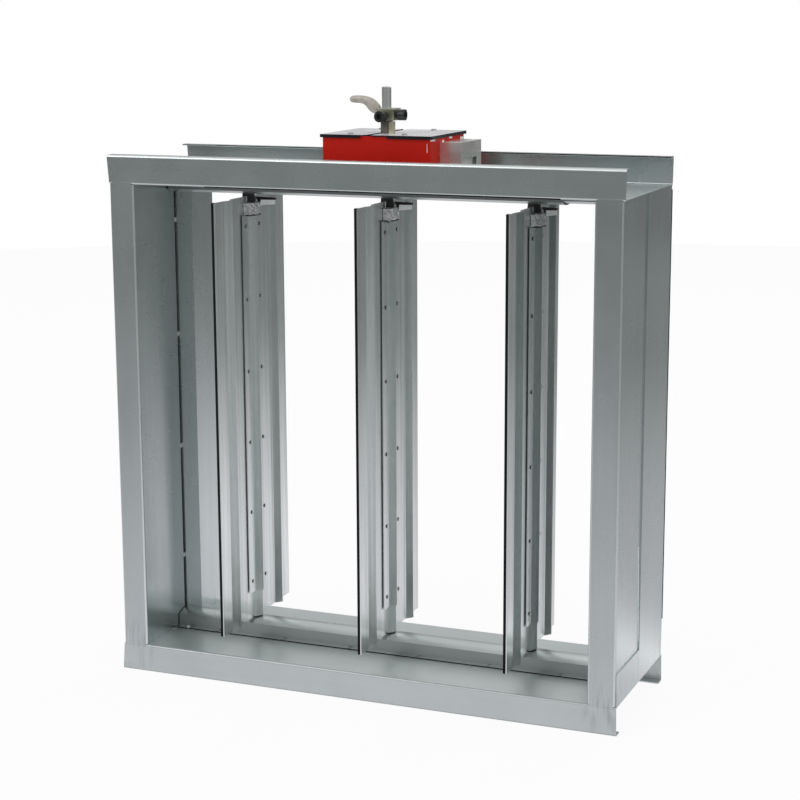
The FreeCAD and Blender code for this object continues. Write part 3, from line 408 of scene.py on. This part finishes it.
def lid_metal(name, dark, light, rim):
    """Pale passivated plate whose turned-down rim and cut edges are black."""
    s = Shader(name, light, metallic=0.2, roughness=0.26)
    patches = s.noise(14.0, detail=5.0, roughness=0.6)
    colour = s.tint(s.spread(patches, 0.0, 1.0), dark, light)
    upright = s.spread(s.facing()[2], 1.0, 0.0, 0.75, 0.90)
    s.link(s.tint(upright, colour, rim), "Base Color")
    s.link(s.spread(patches, 0.22, 0.34), "Roughness")
    s.bump(s.noise(6.0, detail=2.0), 0.0015, 0.4)


def capped_metal(name, cap, side):
    """Rivets with a painted highlight on the flat cap, which faces along x, and painted shade on
    the dark sides.
    """
    s = Shader(name, side, metallic=0.8, roughness=0.3)
    flat = s.spread(s.facing()[0], 0.0, 1.0, 0.90, 0.97)
    speckle = s.spread(s.noise(420.0), 0.7, 1.0)
    s.link(s.tint(s.total(flat, speckle, "MULTIPLY"), side, cap), "Base Color")
    s.link(s.spread(s.noise(300.0), 0.28, 0.42), "Roughness")


def paint(name, dark, light, roughness):
    """A sprayed coat with a fine orange peel."""
    s = Shader(name, light, roughness=roughness)
    s.put("Specular IOR Level", 0.16)
    s.put("Coat Weight", 0.03)
    s.put("Coat Roughness", 0.22)
    s.link(s.tint(s.spread(s.noise(9.0), 0.0, 1.0), dark, light), "Base Color")
    s.link(s.spread(s.noise(40.0), roughness - 0.05, roughness + 0.07), "Roughness")
    s.bump(s.noise(700.0, detail=1.0), 0.00006, 0.3)


def plastic(name, dark, light, roughness, specular=0.5):
    """Moulded plastic or rubber with a fine matt grain."""
    s = Shader(name, light, roughness=roughness)
    s.put("Specular IOR Level", specular)
    s.link(s.tint(s.spread(s.noise(30.0), 0.0, 1.0), dark, light), "Base Color")
    s.link(s.spread(s.noise(90.0), roughness - 0.06, roughness + 0.06), "Roughness")
    s.bump(s.noise(1500.0, detail=2.0), 0.00004, 0.4)


# The materials: name, dark and light colour, roughness, then what the kind asks for

sheet_metal("galvanised_steel", ZINC_DARK, ZINC_LIGHT, 0.26, ROLLED_ALONG_Z, painted_bend_tone_and_welds=ZINC_BEND_HIGHLIGHT)
# A lighter copy of the galvanised sheet: painted light on the left jamb's rear shell, which lies in
# the blades' shade
sheet_metal("galvanised_rear_painted_lighter", (0.51, 0.565, 0.565), (0.69, 0.745, 0.745), 0.26,
            ROLLED_ALONG_Z, painted_bend_tone_and_welds=ZINC_BEND_HIGHLIGHT)
# The top channel's bends and lips get a painted highlight
sheet_metal("galvanised_across", ZINC_DARK, ZINC_LIGHT, 0.26, ROLLED_ALONG_X,
            painted_bend_tone_and_welds=(0.70, 0.75, 0.745))
# The sill's bend colour is darker than its sheet: painted shade that dims the highlight on its
# bends
sheet_metal("galvanised_sill", (0.49, 0.54, 0.54), (0.65, 0.695, 0.695), 0.33,
            ROLLED_ALONG_X, painted_bend_tone_and_welds=(0.42, 0.45, 0.45), metallic=0.64)
sheet_metal("blade_steel", (0.56, 0.61, 0.605), (0.87, 0.90, 0.895), 0.22,
            ROLLED_ALONG_Z, streaks=0.65, grain_scale=150.0)
# The seals' front-facing slopes get painted shade
sheet_metal("stainless_sheet", (0.44, 0.48, 0.475), (0.64, 0.67, 0.665), 0.30,
            ROLLED_ALONG_X, streaks=0.35, painted_front_shade=(0.33, 0.355, 0.35))
rough_metal("weld", (0.68, 0.71, 0.71), (0.98, 0.98, 0.98), 0.45, scale=500.0,
            depth=0.0003, metallic=0.2)
rough_metal("clamp_steel", (0.30, 0.31, 0.31), (1.0, 1.0, 1.0), 0.16, scale=190.0,
            depth=0.003, metallic=0.55)
rough_metal("lever_casting", (0.40, 0.37, 0.32), (0.60, 0.56, 0.50), 0.5, scale=160.0,
            depth=0.00015, metallic=0.3)
plain_metal("shaft_steel", (0.54, 0.56, 0.55), (0.60, 0.62, 0.61), 0.34, scale=20.0,
            metallic=0.75)
plain_metal("guard_steel", (0.74, 0.74, 0.70), (0.92, 0.92, 0.88), 0.24, scale=25.0,
            metallic=0.75)
plain_metal("plated_screw", (0.48, 0.48, 0.46), (0.66, 0.66, 0.64), 0.24)
plain_metal("hand_clamp", (0.32, 0.335, 0.22), (0.60, 0.62, 0.45), 0.30, scale=90.0)
plain_metal("clamp_plating", (0.60, 0.62, 0.50), (0.82, 0.84, 0.74), 0.28, metallic=0.6)
plain_metal("post_plate", (0.46, 0.44, 0.30), (0.66, 0.64, 0.48), 0.34)
plain_metal("motor_body", (0.40, 0.41, 0.42), (0.52, 0.53, 0.54), 0.38, scale=30.0)
# Near-white sheet: the painted highlight of the clamp ears and the lap seam, and the pale patches
# and scratch on the red box
plain_metal("bright_sheet", (0.90, 0.92, 0.92), (1.0, 1.0, 1.0), 0.30, scale=120.0,
            metallic=0.1)
plain_metal("hub_steel", (0.10, 0.095, 0.085), (0.24, 0.225, 0.20), 0.36, scale=80.0)
lid_metal("cover_plate", (0.84, 0.83, 0.89), (0.98, 0.98, 1.0), rim=(0.012, 0.013, 0.018))
capped_metal("blade_rivet", cap=(0.80, 0.82, 0.82), side=(0.03, 0.035, 0.035))
paint("actuator_red", (0.50, 0.008, 0.002), (0.64, 0.012, 0.004), 0.45)
plastic("bearing_plastic", (0.008, 0.008, 0.009), (0.02, 0.02, 0.022), 0.5)
# Also the black of the painted shadow lines, strips and rows
plastic("seal_rubber", (0.004, 0.004, 0.005), (0.012, 0.012, 0.013), 0.6, specular=0.1)
plastic("black_screw", (0.010, 0.010, 0.011), (0.026, 0.028, 0.030), 0.32)
plastic("terminal_plastic", (0.50, 0.51, 0.50), (0.62, 0.63, 0.62), 0.5)
plastic("pale_cover", (0.60, 0.61, 0.59), (0.74, 0.75, 0.73), 0.45)

# Pieces whose finish isn't the one named like their slot. The two channels are rolled along
# x, the other galvanised sheets along z, and the clamps are solid where the wraps are foil.

FINISHES = {
    "casing_top_channel": "galvanised_across",
    "casing_bottom_channel": "galvanised_sill",
    # The left jamb's rear shell gets the lighter copy, painted light
    "left_jamb_rear_shell": "galvanised_rear_painted_lighter",
    "blade_1_rivets": "blade_rivet",
    "blade_2_rivets": "blade_rivet",
    "blade_3_rivets": "blade_rivet",
    "blade_1_shaft_clamps": "plated_screw",
    "blade_2_shaft_clamps": "plated_screw",
    "blade_3_shaft_clamps": "plated_screw",
    "drive_hub": "hub_steel",
    "clamp_plate": "clamp_plating",
}


def dress_cad_nodes():
    """Give each carried-over piece the finish of its slot in the record, or its own."""
    for entry in frame["record"]["subparts"]:
        name, slot = entry["node"], entry["material_slot"]
        piece = nodes[name]
        piece.data.materials.clear()
        piece.data.materials.append(MATERIALS[FINISHES.get(name, slot)])


# Helpers for small pieces that the solids leave out. Places are in millimetres.

def add_piece(name, places, faces, finish, slot, body):
    """A mesh from points in millimetres, with its finish, slot and body."""
    mesh = bpy.data.meshes.new(name)
    mesh.from_pydata([Vector(place) * MM for place in places], [], faces)
    mesh.update()
    mesh.materials.append(MATERIALS[finish])
    piece = bpy.data.objects.new(name, mesh)
    bpy.context.scene.collection.objects.link(piece)
    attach(piece, body)
    return piece


def tube_faces(rings, sides):
    """Faces that join rings of points to a closed tube, with a cap at either end."""
    faces = []
    last = (rings - 1) * sides
    for first in range(0, last, sides):
        for corner in range(sides):
            after = (corner + 1) % sides
            faces.append((first + corner, first + after,
                          first + sides + after, first + sides + corner))
    faces.append(tuple(reversed(range(sides))))
    faces.append(tuple(range(last, last + sides)))
    return faces


def heading(path, number):
    """A path's direction at one of its points."""
    before = Vector(path[max(number - 1, 0)])
    after = Vector(path[min(number + 1, len(path) - 1)])
    return (after - before).normalized()


def bead(path, radius, sides=6, start=None):
    """Points and faces of a closed tube along a path, widening from start if that is given."""
    first_radius = radius if start is None else start
    places = []
    for number, place in enumerate(path):
        along = heading(path, number)
        side = along.cross(Vector((0.0, 0.0, 1.0)))
        if side.length < UPRIGHT_SHARE:
            side = along.cross(Vector((0.0, 1.0, 0.0)))
        side.normalize()
        rise = side.cross(along)
        here = first_radius + (radius - first_radius) * number / (len(path) - 1)
        for corner in range(sides):
            turn = 2 * math.pi * (corner + 0.5) / sides
            places.append(Vector(place) + (side * math.cos(turn) + rise * math.sin(turn)) * here)
    return places, tube_faces(len(path), sides)


def slab(outline, depth):
    """Points and faces of a thin plate: an outline, and the same outline moved by depth."""
    count = len(outline)
    places = [Vector(place) for place in outline]
    places += [place + Vector(depth) for place in places]
    faces = [tuple(reversed(range(count))), tuple(range(count, count * 2))]
    faces += [(n, (n + 1) % count, count + (n + 1) % count, count + n) for n in range(count)]
    return places, faces


def black_piece(name, form):
    """A black line painted as shadow, which stays with the casing."""
    add_piece(name, *form, "seal_rubber", "seal_rubber", "casing")


def rounded(piece):
    """Subdivide a coarse form twice, which rounds it."""
    smooth = piece.modifiers.new("smooth", "SUBSURF")
    smooth.levels = smooth.render_levels = 2


def low_and_high(name):
    """A node's corners at rest, in millimetres."""
    low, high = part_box(name)
    return Vector(low) / MM, Vector(high) / MM


# The small pieces

def seal_shadow_lines_and_tack():
    """Black lines painted as the shadow along the jamb seals, and the tack weld on the bottom one.
    """
    low, high = low_and_high("bottom_jamb_seal")
    path = [(x, low.y - BOTTOM_SHADOW_OUT, low.z + BOTTOM_SHADOW_UP) for x in (low.x, 0.0, high.x)]
    black_piece("bottom_seal_shadow_line", bead(path, BOTTOM_SHADOW_RADIUS))
    path = [(x, low.y - TACK_OUT, low.z + TACK_UP) for x in (TACK_START, TACK_END)]
    rounded(add_piece("bottom_seal_tack", *bead(path, TACK_RADIUS, ROUND_SIDES),
                      "weld", "weld", "casing"))
    low, high = low_and_high("top_jamb_seal")
    left, middle, right = (TOP_SHADOW_LINE + rise for rise in TOP_SHADOW_WANDER)
    path = [(low.x, low.z + TOP_SHADOW_FOOT), (low.x, TOP_SHADOW_LINE),
            (low.x + TOP_SHADOW_TURN, left), (0.0, middle), (high.x, right)]
    path = [(x, TOP_SHADOW_FLANK, z) for x, z in path]
    black_piece("top_seal_shadow_line", bead(path, TOP_SHADOW_RADIUS))


def clamp_ears():
    """An ear of each blade's top clamp in near-white, a painted highlight, and the black strip
    along its upper edge, a painted shadow.
    """
    for number, place in enumerate(BLADE_PLACES, start=1):
        face = place + CLAMP_FACE
        for part, outline, finish, slot in (
                ("ear", EAR_OUTLINE, "bright_sheet", "blade_steel"),
                ("ear_painted_shadow", EAR_EDGE, "seal_rubber", "seal_rubber")):
            outline = [(face + (EAR_TOP - z) * EAR_TILT, y, z) for y, z in reversed(outline)]
            add_piece("blade_%d_clamp_%s" % (number, part), *slab(outline, (EAR_SHEET, 0, 0)),
                      finish, slot, "blade_%d" % number)


def wrap_profile(y):
    """How far the crimped wrap stands from the shaft's line, along its width."""
    share = (WRAP_FOOT - abs(y)) / (WRAP_FOOT - WRAP_HALF_WIDTH)
    return WRAP_FLAT + (WRAP_FACE - WRAP_FLAT) * min(1.0, share) ** WRAP_ROUND


def wrap_place(number, shaft, row, column):
    """A point of a blade's wrap: crumpled all over but at its two sides, ragged below."""
    y = -WRAP_FOOT + 2 * WRAP_FOOT * column / WRAP_COLUMNS
    edge = noise.noise(Vector((y * WRAP_RAGGED_SCALE, number * WRAP_EDGES_APART, 0.0)))
    ragged = WRAP_RAGGED * edge
    z = WRAP_HIGH - (WRAP_HIGH - WRAP_LOW + ragged) * row / WRAP_ROWS
    lumps, creases = (noise.noise(Vector((number * WRAP_FACES_APART, y * scale, z * scale)))
                      for scale in (WRAP_LUMP_SCALE, WRAP_CREASE_SCALE))
    inside = WRAP_CRUMPLE if 0 < column < WRAP_COLUMNS else 0.0
    depth = wrap_profile(y) + (WRAP_FULL + lumps + creases * WRAP_CREASE) * inside
    return shaft + depth, y, z


def clamp_wraps():
    """The crimped metal wrap over each blade's top clamp, its ragged lowest row painted black as
    the shadow under it.
    """
    across = WRAP_COLUMNS + 1
    for number, shaft in enumerate(BLADE_PLACES, start=1):
        places = [wrap_place(number, shaft, row, column)
                  for row in range(WRAP_ROWS + 1) for column in range(across)]
        faces = [(first, first + across, first + across + 1, first + 1)
                 for row in range(WRAP_ROWS)
                 for first in range(row * across, row * across + WRAP_COLUMNS)]
        wrap = add_piece("blade_%d_clamp_wrap" % number, places, faces,
                         "clamp_steel", "blade_steel", "blade_%d" % number)
        # The lowest row is painted shadow in the black rubber finish
        wrap.data.materials.append(MATERIALS["seal_rubber"])
        for face in wrap.data.polygons[-WRAP_COLUMNS:]:
            face.material_index = 1
        thicken = wrap.modifiers.new("thickness", "SOLIDIFY")
        thicken.thickness = WRAP_SHEET * MM
        thicken.offset = 0.0


def bearing_skirts():
    """The flared black skirt at the foot of each upper bearing."""
    rings = ((SKIRT_RADIUS, SKIRT_LOW), (SKIRT_RADIUS, SKIRT_BRIM), (SKIRT_NECK, SKIRT_HIGH))
    turns = [2 * math.pi * corner / SKIRT_SIDES for corner in range(SKIRT_SIDES)]
    for number, place in enumerate(BLADE_PLACES, start=1):
        places = [(place + radius * math.cos(turn), radius * math.sin(turn), z)
                  for radius, z in rings for turn in turns]
        add_piece("bearing_%d_skirt" % number, places, tube_faces(len(rings), SKIRT_SIDES),
                  "bearing_plastic", "bearing_plastic", "casing")


def hand_lever():
    """The cast lever as a smooth tapering bar, round at its tip, in place of the plain solid."""
    path = [(x, 0.0, z) for x, z, half in LEVER_LINE]
    places = []
    for number, (x, z, half) in enumerate(LEVER_LINE):
        along = heading(path, number)
        up = Vector((-along.z, 0.0, along.x))
        wide = LEVER_HALF_WIDTH * min(1.0, half / LEVER_FULL_WIDTH_AT)
        for corner in range(LEVER_SIDES):
            turn = 2 * math.pi * corner / LEVER_SIDES
            places.append(Vector((x, 0.0, z)) + up * half * math.sin(turn)
                          + Vector((0.0, wide * math.cos(turn), 0.0)))
    faces = [tuple(reversed(face)) for face in tube_faces(len(path), LEVER_SIDES)]
    lever = add_piece("cast_hand_lever", places, faces, "lever_casting", "lever_casting", "blade_2")
    rounded(lever)
    for face in lever.data.polygons:
        face.use_smooth = True
    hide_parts("hand_lever")


def terminal_cover():
    """The pale cover over the terminals, seen through the guard's window."""
    low = low_and_high("terminal_guard")[0].z
    outline = [(COVER_PLACE, COVER_FRONT, low), (COVER_PLACE, COVER_REAR, low),
               (COVER_PLACE, COVER_REAR, COVER_HIGH), (COVER_PLACE, COVER_FRONT, COVER_HIGH)]
    add_piece("terminal_cover", *slab(outline, (COVER_SHEET, 0, 0)),
              "pale_cover", "terminal_plastic", "casing")


def box_marks():
    """Pale patches on the red box's right side, and a scratch on its front."""
    low, high = low_and_high("actuator_housing")
    for number, (front, rear, bottom, top) in enumerate(BOX_PALE_PATCHES, start=1):
        corners = ((front, bottom), (rear, bottom), (rear, top), (front, top))
        outline = [(high.x, y + over, z + up) for (y, z), (over, up) in zip(corners, PATCH_SKEW)]
        add_piece("box_chip_%d" % number, *slab(outline, (MARK_DEPTH, 0, 0)),
                  "bright_sheet", "actuator_red", "casing")
    outline = [(x, low.y, z) for x, z in BOX_SCRATCH]
    add_piece("box_scratch", *slab(outline, (0, -MARK_DEPTH, 0)),
              "bright_sheet", "actuator_red", "casing")


def front_shadow_line():
    """A black line painted as the shadow under the top channel's lower front bend, widening along
    it.
    """
    path = [(x, *FRONT_SHADOW_LINE) for x in (FRONT_SHADOW_START, 0.0, FRONT_SHADOW_END)]
    black_piece("top_front_shadow_line", bead(path, FRONT_SHADOW_WIDE, ROUND_SIDES, FRONT_SHADOW_THIN))


def lip_shadow():
    """A black strip painted as shade on the cut edge of the rear flange's lip."""
    high = low_and_high("casing_top_channel")[1]
    outline = [(x, LIP_EDGE, high.z - down) for x, down in (
        (LIP_EDGE_START, LIP_EDGE_FOOT_LEFT), (high.x, LIP_EDGE_FOOT_RIGHT),
        (high.x, LIP_EDGE_TOP), (LIP_EDGE_START, LIP_EDGE_TOP))]
    black_piece("rear_lip_shadow", slab(outline, (0, -LIP_EDGE_DEPTH, 0)))


def crease_lines():
    """Bright lines on the casing: welds where its flaps are folded, and a painted highlight along
    the right lap seam's edge.
    """
    side = low_and_high("right_jamb_front_shell")[1].x
    for name, path in (
            # Painted highlight: the lap seam's edge catching light
            ("right_lap_highlight", [(side, y, z) for y, z in RIGHT_LAP_LINE]),
            ("right_crease_line", [(side, y, z) for y, z in RIGHT_CREASE_LINE]),
            ("left_crease_line", LEFT_CREASE_LINE)):
        add_piece(name, *bead(path, CREASE_RADIUS, ROUND_SIDES),
                  "bright_sheet", "weld", "casing")


def rear_shadow_line():
    """A black line painted as shade along the rear edge of the right side."""
    side = low_and_high("right_jamb_rear_shell")[1].x
    path = [(side, REAR_EDGE, z) for z in REAR_EDGE_HEIGHTS]
    black_piece("right_rear_shadow", bead(path, REAR_EDGE_RADIUS, ROUND_SIDES))


# Stage, lights and camera

def share_of_rays(tree, kind, share, first, second):
    """Mix two shaders, with the given share of the second for one kind of ray."""
    path = tree.nodes.new("ShaderNodeLightPath")
    mix = tree.nodes.new("ShaderNodeMixShader")
    tree.links.new(arithmetic(tree, "MULTIPLY", path.outputs[kind], share), mix.inputs["Fac"])
    tree.links.new(first, mix.inputs[1])
    tree.links.new(second, mix.inputs[2])
    return mix.outputs["Shader"]


def floor_glow(tree, where):
    """The light that metal finds on the floor besides its main tone.

    Behind the part it is more at the left and less at the right, least near the part's right
    side. A strip light adds a narrow glow in one direction."""
    split = tree.nodes.new("ShaderNodeSeparateXYZ")
    tree.links.new(where, split.inputs["Vector"])
    x, y = split.outputs["X"], split.outputs["Y"]
    lean = arithmetic(tree, "SUBTRACT", x, arithmetic(tree, "MULTIPLY", y, FLOOR_LEAN))
    side = ramp(tree, lean, -FLOOR_LEAN_REACH, FLOOR_LEAN_REACH, FLOOR_LEFT_MORE,
                FLOOR_RIGHT_LESS)
    rear = ramp(tree, y, FLOOR_REAR_START, FLOOR_REAR_END, 0.0, 1.0)
    low_side = arithmetic(
        tree, "MULTIPLY",
        ramp(tree, y, FLOOR_SIDE_START, FLOOR_SIDE_END, FLOOR_SIDE_LESS, 0.0),
        ramp(tree, lean, FLOOR_SIDE_LEAN_LOW, FLOOR_SIDE_LEAN_HIGH, 0.0, 1.0))
    side = arithmetic(tree, "MULTIPLY", arithmetic(tree, "ADD", side, low_side), rear)
    azimuth = arithmetic(tree, "ARCTAN2", y, x)
    away = arithmetic(tree, "ABSOLUTE", arithmetic(tree, "SUBTRACT", azimuth, STRIP_AZIMUTH), 0.0)
    strip = ramp(tree, away, 0.0, STRIP_HALF_WIDTH, STRIP_GAIN, 0.0)
    return arithmetic(tree, "ADD", side, strip)


def make_floor():
    """A round pale floor, plain white to the camera but for the shadow, and paler near the part."""
    mesh = bpy.data.meshes.new("floor")
    form = bmesh.new()
    bmesh.ops.create_circle(form, cap_ends=True, segments=FLOOR_SEGMENTS, radius=FLOOR_RADIUS)
    form.to_mesh(mesh)
    form.free()
    floor = bpy.data.objects.new("floor", mesh)
    bpy.context.scene.collection.objects.link(floor)
    material = bpy.data.materials.new("floor")
    material.use_nodes = True
    tree = material.node_tree
    bsdf = next(node for node in tree.nodes if node.type == "BSDF_PRINCIPLED")
    output = next(node for node in tree.nodes if node.type == "OUTPUT_MATERIAL")
    bsdf.inputs["Base Color"].default_value = (*FLOOR_COLOUR, 1.0)
    bsdf.inputs["Roughness"].default_value = FLOOR_ROUGHNESS
    where = tree.nodes.new("ShaderNodeTexCoord").outputs["Object"]
    reach = vector_math(tree, "DISTANCE", where, FLOOR_GLOW_MIDDLE).outputs["Value"]
    fade = ramp(tree, reach, FLOOR_NEAR, FLOOR_FAR, 0.0, 1.0)
    tone = tone_between(tree, fade, FLOOR_GLOSS_NEAR, FLOOR_GLOSS_FAR)
    more = vector_math(tree, "ADD", tone)
    tree.links.new(floor_glow(tree, where), more.inputs[1])
    glow = tree.nodes.new("ShaderNodeEmission")
    tree.links.new(more.outputs["Vector"], glow.inputs["Color"])
    white = tree.nodes.new("ShaderNodeEmission")
    white.inputs["Color"].default_value = (*WORLD_WHITE, 1.0)
    shader = share_of_rays(tree, "Is Glossy Ray", 1.0,
                           bsdf.outputs["BSDF"], glow.outputs["Emission"])
    shader = share_of_rays(tree, "Is Camera Ray", 1.0 - FLOOR_SHADOW_SHARE,
                           shader, white.outputs["Emission"])
    tree.links.new(shader, output.inputs["Surface"])
    mesh.materials.append(material)
    floor.location.z = -FLOOR_DROP


def make_world():
    """White to the camera, a soft light for the object, and a darker horizon in gloss."""
    world = bpy.data.worlds.new("studio")
    bpy.context.scene.world = world
    world.use_nodes = True
    tree = world.node_tree
    tree.nodes.clear()
    where = tree.nodes.new("ShaderNodeTexCoord")
    split = tree.nodes.new("ShaderNodeSeparateXYZ")
    tree.links.new(where.outputs["Generated"], split.inputs["Vector"])
    slope = ramp(tree, split.outputs["Z"], HORIZON_LOW, HORIZON_HIGH,
                 WORLD_GLOSS_LOW, WORLD_GLOSS_HIGH)
    sky, gloss, white = (tree.nodes.new("ShaderNodeBackground") for _ in range(3))
    for background in (sky, gloss, white):
        background.inputs["Color"].default_value = (*WORLD_WHITE, 1.0)
    sky.inputs["Strength"].default_value = WORLD_LIGHT
    tree.links.new(slope, gloss.inputs["Strength"])
    shader = share_of_rays(tree, "Is Glossy Ray", 1.0,
                           sky.outputs["Background"], gloss.outputs["Background"])
    shader = share_of_rays(tree, "Is Camera Ray", 1.0, shader, white.outputs["Background"])
    output = tree.nodes.new("ShaderNodeOutputWorld")
    tree.links.new(shader, output.inputs["Surface"])


def make_lamp(name, place, target, across, power):
    """A square lamp, turned to a point."""
    light = bpy.data.lights.new(name, "AREA")
    light.shape = "SQUARE"
    light.size = across
    light.energy = power
    lamp = bpy.data.objects.new(name, light)
    bpy.context.scene.collection.objects.link(lamp)
    lamp.location = place
    lamp.rotation_euler = (Vector(target) - Vector(place)).to_track_quat("-Z", "Y").to_euler()


def make_camera():
    """The camera where the photograph was taken from."""
    camera = bpy.data.cameras.new("camera")
    camera.lens = CAMERA_LENS
    camera.sensor_width = CAMERA_SENSOR
    camera.sensor_fit = "HORIZONTAL"
    holder = bpy.data.objects.new("camera", camera)
    bpy.context.scene.collection.objects.link(holder)
    turn = Matrix.Rotation(CAMERA_TURN, 4, "Z")
    tilt = Matrix.Rotation(math.radians(90) + CAMERA_PITCH, 4, "X")
    roll = Matrix.Rotation(CAMERA_ROLL, 4, "Z")
    holder.matrix_world = Matrix.Translation(CAMERA_PLACE) @ turn @ tilt @ roll
    bpy.context.scene.camera = holder


# The scene

dress_cad_nodes()
seal_shadow_lines_and_tack()
clamp_ears()
clamp_wraps()
bearing_skirts()
hand_lever()
terminal_cover()
box_marks()
front_shadow_line()
lip_shadow()
crease_lines()
rear_shadow_line()
make_floor()
make_world()
for lamp in LAMPS:
    make_lamp(*lamp)
make_camera()
bpy.context.scene.view_settings.view_transform = "Standard"
